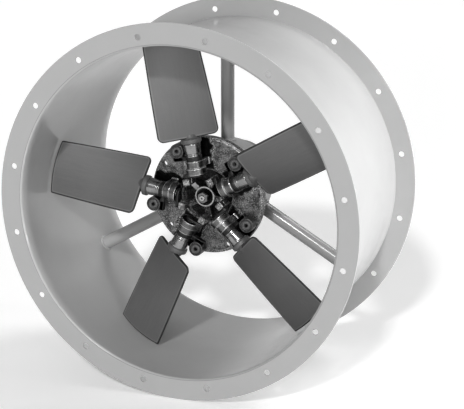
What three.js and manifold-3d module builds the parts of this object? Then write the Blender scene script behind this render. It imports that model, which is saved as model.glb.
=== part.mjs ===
// Inline duct fan: a short flanged casing, a motor held on three tube struts, and an impeller with
// five blades whose pitch is set together by a spider that slides along a stud at the hub's centre.
// Lengths are in millimetres and angles in degrees.
// Z is up and the flange rims stand on Z = 0. The fan axis runs along Y, halfway up the casing:
// air comes in at the front, the impeller side (-Y), and leaves at the back, the motor side (+Y).
// In a sector group Z points radially out and X points clockwise as seen from the front.
import * as THREE from 'three';
import { mergeVertices } from 'three/addons/utils/BufferGeometryUtils.js';
import Module from 'manifold-3d';

// Gaps between pieces that touch and pieces that slide, and how far a cut runs past its edge
const seatGap = 0.3;
const runningGap = 0.4;
const overrun = 2;

// Sides of the nuts, bolt heads and sockets
const hexSides = 6;

// Casing: rolled sheet with a turned-out flange at each end
const casing = {
  flangeRadius: 361, flangeWidth: 43.5, length: 369, sheet: 3, bendRadius: 1,
  boltInset: 24, holeRadius: 5.75, holeCount: 16, sides: 64, holeSides: 10, bendSteps: 2,
};

// Struts: round tubes, closed at both ends by their welds
const strut = { radius: 13.45, planeY: 88, sides: 16 };
const strutPlaces = ['top', 'right', 'left'];

// Motor ring: the rolled band that holds the motor, and the bolts midway between the struts
const motorRing = { outerRadius: 88, thickness: 5, width: 46, sides: 40 };
const motorBolt = { shankRadius: 4, headRadius: 7.5, headHeight: 5.5, engagement: 9, sides: 10 };

// Motor housing, reaching ahead of the strut plane and behind it, and the end shields that close it
const housing = {
  ringRoom: 8, wall: 5.7, finHeight: 7, finCount: 24, ahead: 51.7, behind: 61.7, sides: 36,
};
const finWidthShare = 0.36;
const housingBoss = { width: 18, length: 26 };
const shield = {
  overlap: 4, thickness: 12, bossRadius: 30, bossReach: 6, wall: 3.7, sides: 32,
};

// Inside the motor
const bearing = { outerRadius: 23.5, width: 14, sides: 20 };
const core = { endRoom: 13.7, stackDepth: 22.7, airGap: 0.8, sides: 28 };
const winding = { inset: 4.3, depth: 13, height: 9.4, shoulder: 3 };
const shaft = { hubRadius: 9.5, seatRadius: 10, coreRadius: 11, endDrop: 1, tapRoom: 6, sides: 20 };
const key = { width: 6, height: 6, length: 24, sunk: 3.5 };

// Terminal box under the back of the motor, on a pad that stands just proud of the fins
const box = { angle: 180, width: 68, length: 40, height: 32, wall: 3, ringRoom: 2, lidThickness: 3.6 };
const housingPad = { width: 52, rise: 0.6 };
const gland = {
  threadRadius: 8, hexRadius: 12, hexLength: 6, domeRadius: 9.5, domeLength: 11, tipRadius: 7.5,
  boreRadius: 4.5, sides: 12,
};

// Hub disc: cast, with a sunk middle for the spider and a sleeve behind for the shaft
const hub = {
  radius: 116.5, frontY: -18, thickness: 14, chamfer: 1.5, wellRadius: 52, wellDepth: 8, wellDraft: 2,
  sleeveRadius: 27, shieldRoom: 6, holeRadius: 5.5, holeInset: 11.5, holeLeadAngle: 23, sides: 48,
  holeSides: 8,
};
const washer = { radius: 14, thickness: 2.7, sides: 16 };
const stud = {
  radius: 6, tailRadius: 4, tailLength: 20, collarRadius: 9, collarHeight: 4.4, overNut: 3.2,
  chamfer: 1, drillRadius: 2, drillDepth: 5, sides: 16,
};
const stopNut = { cornerRadius: 11, height: 7 };

// Blades: the first stands just left of the top, seen from the front
const bladeCount = 5;
const firstBladeAngle = -10;
const bladeStandoff = 31;
const blade = {
  tipGap: 3.6, rootGap: 11.1, rootPitchAngle: 34, tipPitchAngle: 17, plateLead: 5.6,
  rootBehind: 61.2, rootAhead: 59.2, tipBehind: 59.2, tipAhead: 46.1,
  rootCorner: 12, tipCorner: 2, edgeThickness: 3.4, midThickness: 7.4, camber: 3,
};
const acrossShares = [0, 0.02, 0.07, 0.16, 0.33, 0.5, 0.67, 0.84, 0.93, 0.98, 1];
const alongShares = [0, 0.2, 0.4, 0.6, 0.8, 1];

// Round foot of the blade: machined collar, neck and cone, and the journal and spigot inside
const foot = {
  collarLength: 25.4, collarOuterRadius: 17.5, collarInnerRadius: 15.2, neckLength: 12, neckRadius: 20,
  coneLength: 40, coneTipRadius: 4, journalRadius: 10, spigotRadius: 6, sides: 16,
};

// Blade bearing: a round block with a foot on the hub disc
const block = { radius: 16.5, length: 14, innerEnd: 62, footWidth: 38, footHeight: 5, sides: 16 };

// Counterweight arm, clamped on the journal between the bearing and the blade's collar
const arm = {
  clampRadius: 16, clampLength: 8, setback: 6, thickness: 12, width: 20, offset: 34, bossReach: 12.7,
  bossRadius: 14, bossFront: 2, bossLength: 20, sides: 16,
};
const armScrew = {
  headRadius: 8, headHeight: 7.4, shankRadius: 5, socketRadius: 4, socketDepth: 4.5, sides: 12,
};

// Thrust collar on the inner end of the journal
const thrustCollar = { radius: 20, length: 12, cupRadius: 17.5, cupDepth: 6, sides: 16 };

// Crank on the spigot, and its pin
const crank = {
  offset: 22, bigRadius: 10, smallRadius: 7, thickness: 5, pinRadius: 4, pinLength: 10,
  sides: 12, arcSteps: 6,
};

// Pitch spider: a bush with a rim, and a forked arm for each crank pin
const pitchTravel = 4.5;
const spider = {
  bushRadius: 20, length: 8, stopRoom: 1.5, rimWidth: 3, rimHeight: 2.6, armWidth: 12, armThickness: 6,
  forkWidth: 14, forkDepth: 13, forkRoot: 3, crankRoom: 2.4, jaw: 4.6, sides: 20,
};

const metal = (color, roughness) => new THREE.MeshStandardMaterial({ color, roughness, metalness: 0.9 });
const coated = (color, roughness) => new THREE.MeshStandardMaterial({ color, roughness, metalness: 0.1 });
const greyPaint = coated(0xc9cbcc, 0.45);
const motorPaint = coated(0x8f9394, 0.5);
const darkBlade = metal(0x5e6163, 0.5);
const roughCast = metal(0x686a6c, 0.8);
const blackSteel = metal(0x252627, 0.55);
const brightSteel = metal(0xc4c6c8, 0.25);
const copper = metal(0x9a5a35, 0.45);
const blackPlastic = coated(0x202122, 0.6);

const wasm = await Module();
wasm.setup();

const radians = THREE.MathUtils.degToRad;

// Distance from the centre to the middle of a flat, for a round made of flats
const flatRadius = (radius, sides) => radius * Math.cos(Math.PI / sides);

// Corner radius of a round hole whose flats clear a pin by the gap
const clearRadius = (pinRadius, gap, sides) => (pinRadius + gap) / Math.cos(Math.PI / sides);

// Radii that follow from the flange and the motor ring
const casingBore = casing.flangeRadius - casing.flangeWidth;
const boltCircleRadius = casing.flangeRadius - casing.boltInset;
const finRadius = motorRing.outerRadius - motorRing.thickness - housing.ringRoom;
const finRootRadius = finRadius - housing.finHeight;
const housingBore = finRootRadius - housing.wall;
const rotorRadius = housingBore - core.stackDepth;

// Places along the fan axis, from the motor forward to the end of the stud
const housingFrontY = strut.planeY - housing.ahead;
const housingBackY = strut.planeY + housing.behind;
const coreFrontY = housingFrontY + core.endRoom;
const coreBackY = housingBackY - core.endRoom;
const frontShieldY = housingFrontY - seatGap - shield.thickness;
const backShieldY = housingBackY + seatGap + shield.thickness;
const frontBearingY = frontShieldY + shield.wall + seatGap;
const backBearingY = backShieldY - shield.wall - 2 * seatGap - bearing.width;
const sleeveBackY = frontShieldY - hub.shieldRoom;
const wellY = hub.frontY + hub.wellDepth;
const washerFrontY = wellY - seatGap - washer.thickness;
const studCollarFrontY = washerFrontY - seatGap - stud.collarHeight;
const spiderBackY = studCollarFrontY - spider.stopRoom - pitchTravel;
const spiderFrontY = spiderBackY - spider.length;
const stopNutBackY = spiderFrontY - pitchTravel - seatGap;
const studFrontY = stopNutBackY - stopNut.height - stud.overNut;
const bladePlaneY = hub.frontY - bladeStandoff;

// Places along a blade's axis, as distances from the fan axis
const blockOuterEnd = block.innerEnd + block.length;
const clampStart = blockOuterEnd + seatGap;
const clampEnd = clampStart + arm.clampLength;
const footCollarStart = clampEnd + seatGap;
const footCollarEnd = footCollarStart + foot.collarLength;
const neckEnd = footCollarEnd + foot.neckLength;
const bladeRoot = footCollarEnd + blade.rootGap;
const bladeTip = flatRadius(casingBore, casing.sides) - blade.tipGap;
const thrustOuterEnd = block.innerEnd - seatGap;
const thrustInnerEnd = thrustOuterEnd - thrustCollar.length;
const spigotStart = thrustInnerEnd - seatGap - crank.thickness;
const forkOuterEnd = spigotStart - spider.crankRoom;
const forkInnerEnd = forkOuterEnd - spider.forkDepth;
const bossPlace = clampEnd + arm.bossReach;
const bossBack = arm.bossLength - arm.bossFront;

// Places of the terminal box along the fan axis and out from it
const boxFrontY = strut.planeY + motorRing.width / 2 + box.ringRoom;
const boxY = [boxFrontY, boxFrontY + box.length];
const boxMiddleY = boxFrontY + box.length / 2;
const padTop = finRadius + housingPad.rise;
const boxSeat = padTop + seatGap;
const boxTop = boxSeat + box.height;

const bladeAngles = Array.from({ length: bladeCount }, (_, i) => firstBladeAngle + (360 / bladeCount) * i);
const strutSpacing = 360 / strutPlaces.length;
const motorBoltAngles = strutPlaces.map((_, i) => strutSpacing * (i + 1 / 2));

function toSolid(geometry) {
  const bare = geometry.clone();
  bare.deleteAttribute('normal');
  bare.deleteAttribute('uv');
  const merged = mergeVertices(bare);
  const corners = merged.index.array;
  const faces = [];
  for (let i = 0; i < corners.length; i += 3) {
    const [a, b, c] = [corners[i], corners[i + 1], corners[i + 2]];
    if (a !== b && b !== c && c !== a) faces.push(a, b, c);
  }
  return new wasm.Manifold(new wasm.Mesh({
    numProp: 3,
    vertProperties: Float32Array.from(merged.attributes.position.array),
    triVerts: Uint32Array.from(faces),
  }));
}

function toGeometry(solid) {
  const mesh = solid.getMesh();
  const geometry = new THREE.BufferGeometry();
  geometry.setAttribute('position', new THREE.BufferAttribute(mesh.vertProperties, 3));
  geometry.setIndex(new THREE.BufferAttribute(mesh.triVerts, 1));
  geometry.computeVertexNormals();
  return geometry;
}

// Joins the shapes in the first list, then cuts away those in the second
function carve(joined, removed = []) {
  let solid = toSolid(joined[0]);
  for (const shape of joined.slice(1)) solid = solid.add(toSolid(shape));
  for (const shape of removed) solid = solid.subtract(toSolid(shape));
  return toGeometry(solid);
}

// Turned shape about Y. Its [radius, y] points run with the solid on their left.
function turned(points, sides, startAngle = 0) {
  const outline = points.map(([radius, y]) => new THREE.Vector2(radius, y));
  return new THREE.LatheGeometry(outline, sides, startAngle);
}

const turnedRing = (points, sides, startAngle) => turned([...points, points[0]], sides, startAngle);

function ringAlongY([innerRadius, outerRadius], [fromY, toY], sides) {
  const corners = [[innerRadius, fromY], [outerRadius, fromY], [outerRadius, toY], [innerRadius, toY]];
  return turnedRing(corners, sides);
}

function barAlongY(radius, [fromY, toY], sides) {
  const bar = new THREE.CylinderGeometry(radius, radius, toY - fromY, sides);
  return bar.translate(0, (fromY + toY) / 2, 0);
}

// Turns a shape about Y into one about Z: what lay at y lies at z
const alongZ = (geometry) => geometry.rotateX(radians(90));
const barAlongZ = (radius, ends, sides) => alongZ(barAlongY(radius, ends, sides));

// Turns a shape that points along Z to an angle round the fan axis, clockwise from the front
const swung = (geometry, angle) => geometry.rotateY(radians(angle));

function slab([fromX, toX], [fromY, toY], [fromZ, toZ]) {
  const geometry = new THREE.BoxGeometry(toX - fromX, toY - fromY, toZ - fromZ);
  return geometry.translate((fromX + toX) / 2, (fromY + toY) / 2, (fromZ + toZ) / 2);
}

// The two ends of a length centred on a place, and two ends moved apart by the overrun
const around = (centre, length) => [centre - length / 2, centre + length / 2];
const past = ([from, to]) => [from - overrun, to + overrun];

function add(group, name, geometry, material) {
  const mesh = new THREE.Mesh(geometry, material);
  mesh.name = name;
  group.add(mesh);
}

function sector(parent, angle, y = 0) {
  const group = new THREE.Group();
  group.rotation.y = radians(angle);
  group.position.y = y;
  parent.add(group);
  return group;
}

// The back end's outline is mirrored for the front end, and the bolt holes straddle the top
function casingShape() {
  const { sheet, flangeRadius, bendRadius, holeCount, bendSteps } = casing;
  const endY = casing.length / 2;
  const bendCentre = { radius: casingBore + sheet + bendRadius, y: endY - sheet - bendRadius };
  const bend = (radius) => {
    const points = [];
    for (let step = 0; step <= bendSteps; step += 1) {
      const turn = radians(90) * (step / bendSteps);
      points.push([bendCentre.radius - radius * Math.cos(turn), bendCentre.y + radius * Math.sin(turn)]);
    }
    return points;
  };
  const rim = [[flangeRadius, endY - sheet], [flangeRadius, endY]];
  const backEnd = [...bend(bendRadius), ...rim, ...bend(bendRadius + sheet).reverse()];
  const frontEnd = backEnd.map(([radius, y]) => [radius, -y]).reverse();
  const shell = turnedRing([...frontEnd, ...backEnd], casing.sides, Math.PI / casing.sides);
  const holes = [];
  for (let i = 0; i < holeCount; i += 1) {
    const hole = barAlongY(casing.holeRadius, past([-endY, endY]), casing.holeSides);
    holes.push(swung(hole.translate(0, 0, boltCircleRadius), (360 / holeCount) * (i + 1 / 2)));
  }
  return carve([shell], holes);
}

function strutShape() {
  const wall = flatRadius(casingBore, casing.sides) - seatGap;
  const outerEnd = Math.sqrt(wall ** 2 - strut.radius ** 2);
  return barAlongZ(strut.radius, [motorRing.outerRadius + seatGap, outerEnd], strut.sides);
}

// Radial holes for the motor bolts
function motorBoltHoles(ends) {
  const holeRadius = clearRadius(motorBolt.shankRadius, seatGap, motorBolt.sides);
  return motorBoltAngles.map((angle) => {
    const hole = barAlongZ(holeRadius, ends, motorBolt.sides);
    return swung(hole.translate(0, strut.planeY, 0), angle);
  });
}

function motorRingShape() {
  const { outerRadius, thickness, width, sides } = motorRing;
  const radii = [outerRadius - thickness, outerRadius];
  return carve([ringAlongY(radii, around(strut.planeY, width), sides)], motorBoltHoles(past(radii)));
}

// Top of the bosses that seat the ring, low enough for their corners to clear its flats
function bossTop() {
  const seat = flatRadius(motorRing.outerRadius - motorRing.thickness, motorRing.sides) - seatGap;
  return Math.sqrt(seat ** 2 - (housingBoss.width / 2) ** 2);
}

function motorBoltShape() {
  const seat = motorRing.outerRadius + seatGap;
  const head = barAlongZ(motorBolt.headRadius, [seat, seat + motorBolt.headHeight], hexSides);
  const shankEnds = [bossTop() - motorBolt.engagement, seat + motorBolt.headHeight / 2];
  return carve([head, barAlongZ(motorBolt.shankRadius, shankEnds, motorBolt.sides)]);
}

// Outline of the finned tube, each fin with its two root corners and two tip corners
function finOutline() {
  const corners = [[finRootRadius, -1], [finRadius, -1], [finRadius, 1], [finRootRadius, 1]];
  const points = [];
  for (let i = 0; i < housing.finCount; i += 1) {
    for (const [radius, side] of corners) {
      const turn = radians(360 / housing.finCount) * (i + (side * finWidthShare) / 2);
      points.push(new THREE.Vector2(radius * Math.sin(turn), radius * Math.cos(turn)));
    }
  }
  const outline = new THREE.Shape(points);
  outline.holes.push(new THREE.Path().absarc(0, 0, housingBore, 0, 2 * Math.PI));
  return outline;
}

// Finned tube with three bosses for the ring and a pad for the terminal box
function housingShape() {
  const depth = housingBackY - housingFrontY;
  const extrusion = { depth, bevelEnabled: false, curveSegments: housing.sides / 2 };
  const tube = new THREE.ExtrudeGeometry(finOutline(), extrusion);
  tube.rotateX(radians(-90)).translate(0, housingFrontY, 0);
  const bottom = housingBore + housing.wall / 2;
  const { width, length } = housingBoss;
  const bosses = motorBoltAngles.map((angle) => {
    const boss = slab(around(0, width), around(strut.planeY, length), [bottom, bossTop()]);
    return swung(boss, angle);
  });
  const pad = slab(around(0, housingPad.width), [boxFrontY + box.wall, housingBackY], [bottom, padTop]);
  const holes = motorBoltHoles([bossTop() - motorBolt.engagement - seatGap, bossTop() + overrun]);
  return carve([tube, ...bosses, swung(pad, box.angle)], holes);
}

// Disc with an inner boss whose pocket holds the bearing, open for the shaft at the front
function frontShieldShape() {
  const pocketRadius = clearRadius(bearing.outerRadius, seatGap, shield.sides);
  const holeRadius = clearRadius(shaft.seatRadius, runningGap + seatGap, shield.sides);
  const radius = finRootRadius + shield.overlap;
  const innerY = frontShieldY + shield.thickness;
  return turnedRing([
    [holeRadius, frontShieldY],
    [radius, frontShieldY],
    [radius, innerY],
    [shield.bossRadius, innerY],
    [shield.bossRadius, innerY + shield.bossReach],
    [pocketRadius, innerY + shield.bossReach],
    [pocketRadius, frontShieldY + shield.wall],
    [holeRadius, frontShieldY + shield.wall],
  ], shield.sides);
}

function backShieldShape() {
  const pocketRadius = clearRadius(bearing.outerRadius, seatGap, shield.sides);
  const radius = finRootRadius + shield.overlap;
  const innerY = backShieldY - shield.thickness;
  return turned([
    [0, backShieldY - shield.wall],
    [pocketRadius, backShieldY - shield.wall],
    [pocketRadius, innerY - shield.bossReach],
    [shield.bossRadius, innerY - shield.bossReach],
    [shield.bossRadius, innerY],
    [radius, innerY],
    [radius, backShieldY],
    [0, backShieldY],
  ], shield.sides);
}

function bearingShape(fromY) {
  const boreRadius = clearRadius(shaft.seatRadius, runningGap, bearing.sides);
  return ringAlongY([boreRadius, bearing.outerRadius], [fromY, fromY + bearing.width], bearing.sides);
}

function statorShape() {
  const boreRadius = clearRadius(rotorRadius, core.airGap, core.sides);
  const outerRadius = flatRadius(housingBore, housing.sides) - seatGap;
  return ringAlongY([boreRadius, outerRadius], [coreFrontY, coreBackY], core.sides);
}

// Winding head, its crown rounded off away from the core
function windingShape(seatY, outward) {
  const { height, shoulder } = winding;
  const outerRadius = housingBore - winding.inset;
  const innerRadius = outerRadius - winding.depth;
  const side = [
    [outerRadius, 0],
    [outerRadius, height - shoulder],
    [outerRadius - shoulder, height],
    [innerRadius + shoulder, height],
    [innerRadius, height - shoulder],
    [innerRadius, 0],
  ];
  const placed = side.map(([radius, reach]) => [radius, seatY + outward * (seatGap + reach)]);
  return turnedRing(outward > 0 ? placed : placed.reverse(), core.sides);
}

function rotorShape() {
  const boreRadius = clearRadius(shaft.coreRadius, seatGap, shaft.sides);
  return ringAlongY([boreRadius, rotorRadius], [coreFrontY, coreBackY], core.sides);
}

// Stepped shaft, tapped in the hub end and slotted for the key
function shaftShape() {
  const { hubRadius, seatRadius, coreRadius, sides } = shaft;
  const tapRadius = clearRadius(stud.tailRadius, seatGap, sides);
  const hubEndY = wellY + shaft.endDrop;
  const tapEndY = washerFrontY - seatGap + stud.tailLength + shaft.tapRoom;
  const frontSeatEndY = frontBearingY + bearing.width + seatGap;
  const backSeatY = backBearingY - seatGap;
  const endY = backBearingY + bearing.width;
  const steps = turned([
    [0, tapEndY],
    [tapRadius, tapEndY],
    [tapRadius, hubEndY],
    [hubRadius, hubEndY],
    [hubRadius, frontShieldY],
    [seatRadius, frontShieldY],
    [seatRadius, frontSeatEndY],
    [coreRadius, frontSeatEndY],
    [coreRadius, backSeatY],
    [seatRadius, backSeatY],
    [seatRadius, endY],
    [0, endY],
  ], sides);
  const slot = slab(
    around(0, key.width + 2 * seatGap),
    around(keyMiddleY, key.length + 2 * seatGap),
    [hubRadius - key.sunk - seatGap, hubRadius + overrun],
  );
  return carve([steps], [slot]);
}

const keyTop = shaft.hubRadius - key.sunk + key.height;
const keyMiddleY = (wellY + sleeveBackY) / 2;

function keyShape() {
  return slab(around(0, key.width), around(keyMiddleY, key.length), [keyTop - key.height, keyTop]);
}

// Box shell, open away from the motor and drilled in one side for the gland
function boxShape() {
  const { width, length, wall } = box;
  const outside = slab(around(0, width), boxY, [boxSeat, boxTop]);
  const room = [around(0, width - 2 * wall), around(boxMiddleY, length - 2 * wall)];
  const inside = slab(...room, [boxSeat + wall, boxTop + overrun]);
  const holeRadius = clearRadius(gland.threadRadius, seatGap, gland.sides);
  const hole = barAlongY(holeRadius, past([-wall, 0]), gland.sides);
  return carve([outside], [inside, onBoxSide(hole)]);
}

// Turns a shape about Y to point out of the box's side, its zero on the side's outer face
function onBoxSide(geometry) {
  return geometry.rotateZ(radians(-90)).translate(box.width / 2, boxMiddleY, (boxSeat + boxTop) / 2);
}

function lidShape() {
  const seat = boxTop + seatGap;
  return slab(around(0, box.width), boxY, [seat, seat + box.lidThickness]);
}

// Gland with its thread through the box wall, its hexagon outside and its bore open
function glandShape() {
  const { threadRadius, hexLength, domeRadius, domeLength, tipRadius, sides } = gland;
  const hexEnd = seatGap + hexLength;
  const domeEnd = hexEnd + domeLength;
  const body = turned([
    [0, -box.wall],
    [threadRadius, -box.wall],
    [threadRadius, hexEnd - hexLength / 2],
    [domeRadius, hexEnd - hexLength / 2],
    [domeRadius, hexEnd + domeLength / 2],
    [tipRadius, domeEnd],
    [0, domeEnd],
  ], sides);
  const hexagon = barAlongY(gland.hexRadius, [seatGap, hexEnd], hexSides);
  const bore = barAlongY(gland.boreRadius, past([-box.wall, domeEnd]), sides);
  return onBoxSide(carve([body, hexagon], [bore]));
}

// Cast disc with its keyway and a through hole just ahead of each blade
function hubShape() {
  const { radius, frontY, thickness, chamfer, wellRadius, wellDraft, sleeveRadius } = hub;
  const boreRadius = clearRadius(shaft.hubRadius, seatGap, shaft.sides);
  const backY = frontY + thickness;
  const disc = turnedRing([
    [boreRadius, wellY],
    [wellRadius - wellDraft, wellY],
    [wellRadius, frontY],
    [radius - chamfer, frontY],
    [radius, frontY + chamfer],
    [radius, backY - chamfer],
    [radius - chamfer, backY],
    [sleeveRadius, backY],
    [sleeveRadius, sleeveBackY],
    [boreRadius, sleeveBackY],
  ], hub.sides);
  const holes = bladeAngles.map((angle) => {
    const hole = barAlongY(hub.holeRadius, past([frontY, backY]), hub.holeSides);
    return swung(hole.translate(0, 0, radius - hub.holeInset), angle + hub.holeLeadAngle);
  });
  const keywayHeight = [0, keyTop + seatGap];
  const keyway = slab(around(0, key.width + 2 * seatGap), past([wellY, sleeveBackY]), keywayHeight);
  return carve([disc], [...holes, keyway]);
}

function washerShape() {
  const boreRadius = clearRadius(stud.tailRadius, seatGap, washer.sides);
  const ends = [washerFrontY, washerFrontY + washer.thickness];
  return ringAlongY([boreRadius, washer.radius], ends, washer.sides);
}

// Stud that clamps the washer to the shaft end and guides the spider, its outer end drilled
function studShape() {
  const { radius, tailRadius, collarRadius, chamfer, drillRadius } = stud;
  const collarBackY = studCollarFrontY + stud.collarHeight;
  const tailBackY = collarBackY + stud.tailLength;
  return turned([
    [0, studFrontY + stud.drillDepth],
    [drillRadius, studFrontY + stud.drillDepth],
    [drillRadius, studFrontY],
    [radius - chamfer, studFrontY],
    [radius, studFrontY + chamfer],
    [radius, studCollarFrontY],
    [collarRadius, studCollarFrontY],
    [collarRadius, collarBackY],
    [tailRadius, collarBackY],
    [tailRadius, tailBackY],
    [0, tailBackY],
  ], stud.sides);
}

// The nut stops the spider at the front end of its travel
function stopNutShape() {
  const ends = [stopNutBackY - stopNut.height, stopNutBackY];
  const boreRadius = clearRadius(stud.radius, seatGap, stud.sides);
  const hexagon = barAlongY(stopNut.cornerRadius, ends, hexSides);
  return carve([hexagon], [barAlongY(boreRadius, past(ends), stud.sides)]);
}

// Bush with a raised rim, and a fork on an arm for each crank pin, open outwards
function spiderShape() {
  const { bushRadius, rimWidth, rimHeight, armWidth, forkWidth } = spider;
  const bush = turned([
    [0, spiderFrontY + rimHeight],
    [bushRadius - rimWidth, spiderFrontY + rimHeight],
    [bushRadius - rimWidth, spiderFrontY],
    [bushRadius, spiderFrontY],
    [bushRadius, spiderBackY],
    [0, spiderBackY],
  ], spider.sides);
  const slotWidth = 2 * (crank.pinRadius + runningGap);
  const forkY = [bladePlaneY - slotWidth / 2 - spider.jaw, spiderBackY];
  const forkLag = THREE.MathUtils.radToDeg(Math.atan2(crank.offset, forkInnerEnd));
  const limbEnds = [bushRadius / 2, Math.hypot(crank.offset, forkInnerEnd) + armWidth / 2];
  const parts = [bush];
  const slots = [];
  for (const angle of bladeAngles) {
    const limb = slab(around(0, armWidth), [spiderBackY - spider.armThickness, spiderBackY], limbEnds);
    const fork = slab(around(-crank.offset, forkWidth), forkY, [forkInnerEnd, forkOuterEnd]);
    const slot = slab(
      past(around(-crank.offset, forkWidth)),
      around(bladePlaneY, slotWidth),
      [forkInnerEnd + spider.forkRoot, forkOuterEnd + overrun],
    );
    parts.push(swung(limb, angle - forkLag), swung(fork, angle));
    slots.push(swung(slot, angle));
  }
  const boreRadius = clearRadius(stud.radius, runningGap, stud.sides);
  const bore = barAlongY(boreRadius, past([spiderFrontY, spiderBackY]), stud.sides);
  return carve(parts, [...slots, bore]);
}

// The shapes below lie in a sector group whose origin is in the plane of the blade axes.

// How far a rounded corner draws an edge back at a distance from the corner's side
function cornerRise(fromEdge, cornerRadius) {
  const inside = Math.max(cornerRadius - fromEdge, 0);
  return cornerRadius - Math.sqrt(cornerRadius ** 2 - inside ** 2);
}

// Twisted plate on a grid of shares across and along it, its front and back sheets joined at the rim.
// It stands a little ahead of the blade's axis, towards the incoming air.
function bladePlate() {
  const { rootBehind, rootAhead, tipBehind, tipAhead } = blade;
  const [columns, rows] = [acrossShares.length, alongShares.length];
  const lerp = THREE.MathUtils.lerp;
  const places = [];
  for (const along of alongShares) {
    for (const across of acrossShares) {
      const edgeShare = Math.min(across, 1 - across);
      const tipX = lerp(-tipBehind, tipAhead, across) * Math.cos(radians(blade.tipPitchAngle));
      const tipRise = cornerRise(edgeShare * (tipBehind + tipAhead), blade.tipCorner);
      const tip = Math.sqrt(bladeTip ** 2 - tipX ** 2) - tipRise;
      const root = bladeRoot + cornerRise(edgeShare * (rootBehind + rootAhead), blade.rootCorner);
      const out = lerp(root, tip, along);
      const span = (out - bladeRoot) / (bladeTip - bladeRoot);
      const chord = lerp(-lerp(rootBehind, tipBehind, span), lerp(rootAhead, tipAhead, span), across);
      const pitch = radians(lerp(blade.rootPitchAngle, blade.tipPitchAngle, span));
      const fullness = 1 - (2 * across - 1) ** 2;
      const half = lerp(blade.edgeThickness, blade.midThickness, fullness) / 2;
      places.push({ out, chord, pitch, bow: -blade.camber * fullness, half });
    }
  }
  const positions = [];
  for (const side of [-1, 1]) {
    for (const { out, chord, pitch, bow, half } of places) {
      const normal = bow + side * half;
      const y = chord * Math.sin(pitch) + normal * Math.cos(pitch) - blade.plateLead;
      positions.push(chord * Math.cos(pitch) - normal * Math.sin(pitch), y, out);
    }
  }
  const front = (column, row) => row * columns + column;
  const back = (column, row) => columns * rows + front(column, row);
  const faces = [];
  const quad = (a, b, c, d) => faces.push(a, b, c, a, c, d);
  for (let row = 0; row + 1 < rows; row += 1) {
    for (let column = 0; column + 1 < columns; column += 1) {
      const ring = [[column, row], [column + 1, row], [column + 1, row + 1], [column, row + 1]];
      quad(...ring.map((place) => front(...place)));
      quad(...ring.reverse().map((place) => back(...place)));
    }
  }
  // A strip of the rim runs from one grid corner to the next, with the plate on its left
  const strip = (from, to) => quad(front(...from), back(...from), back(...to), front(...to));
  const [lastColumn, lastRow] = [columns - 1, rows - 1];
  for (let column = 0; column < lastColumn; column += 1) {
    strip([column, 0], [column + 1, 0]);
    strip([column + 1, lastRow], [column, lastRow]);
  }
  for (let row = 0; row < lastRow; row += 1) {
    strip([0, row + 1], [0, row]);
    strip([lastColumn, row], [lastColumn, row + 1]);
  }
  const geometry = new THREE.BufferGeometry();
  geometry.setAttribute('position', new THREE.Float32BufferAttribute(positions, 3));
  geometry.setIndex(faces);
  return geometry;
}

function bladeShape() {
  const journalStart = spigotStart + crank.thickness + seatGap;
  const round = alongZ(turned([
    [0, spigotStart],
    [foot.spigotRadius, spigotStart],
    [foot.spigotRadius, journalStart],
    [foot.journalRadius, journalStart],
    [foot.journalRadius, footCollarStart],
    [foot.collarInnerRadius, footCollarStart],
    [foot.collarOuterRadius, footCollarEnd],
    [foot.neckRadius, footCollarEnd],
    [foot.neckRadius, neckEnd],
    [foot.coneTipRadius, neckEnd + foot.coneLength],
    [0, neckEnd + foot.coneLength],
  ], foot.sides));
  return carve([bladePlate(), round]);
}

function blockShape() {
  const { radius, innerEnd, footWidth, footHeight, sides } = block;
  const span = [innerEnd, blockOuterEnd];
  const bottomY = bladeStandoff - seatGap;
  const column = slab(around(0, 2 * radius), [0, bottomY], span);
  const base = slab(around(0, footWidth), [bottomY - footHeight, bottomY], span);
  const boreRadius = clearRadius(foot.journalRadius, runningGap, sides);
  return carve([barAlongZ(radius, span, sides), column, base], [barAlongZ(boreRadius, past(span), sides)]);
}

// Round clamp, flat arm and round boss, with a hole for the journal and one for the screw
function armShape() {
  const { clampRadius, setback, thickness, width, offset, bossFront, sides } = arm;
  const clamp = barAlongZ(clampRadius, [clampStart, clampEnd], sides);
  const flat = around(setback, thickness);
  const reach = slab([-offset - width / 2, 0], flat, [clampStart, clampEnd]);
  const rise = slab(around(-offset, width), flat, [clampStart, bossPlace]);
  const boss = barAlongY(arm.bossRadius, [-bossFront, bossBack], sides);
  const boreRadius = clearRadius(foot.journalRadius, seatGap, sides);
  const shankRadius = clearRadius(armScrew.shankRadius, seatGap, armScrew.sides);
  const headRadius = clearRadius(armScrew.headRadius, seatGap, armScrew.sides);
  const headSeat = armScrew.headHeight + seatGap - bossFront;
  const screwHoles = [
    barAlongY(shankRadius, past([-bossFront, bossBack]), armScrew.sides),
    barAlongY(headRadius, [-bossFront - overrun, headSeat], armScrew.sides),
  ];
  return carve(
    [clamp, reach, rise, boss.translate(-offset, 0, bossPlace)],
    [barAlongZ(boreRadius, past([clampStart, clampEnd]), sides), ...screwHoles.map(onBoss)],
  );
}

const onBoss = (geometry) => geometry.translate(-arm.offset, 0, bossPlace);

function armScrewShape() {
  const { headRadius, headHeight, shankRadius, socketRadius, socketDepth, sides } = armScrew;
  const frontY = -arm.bossFront;
  const head = barAlongY(headRadius, [frontY, frontY + headHeight], sides);
  const shank = barAlongY(shankRadius, [frontY + socketDepth, bossBack], sides);
  const socket = barAlongY(socketRadius, [frontY - overrun, frontY + socketDepth], hexSides);
  return onBoss(carve([head, shank], [socket]));
}

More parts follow.
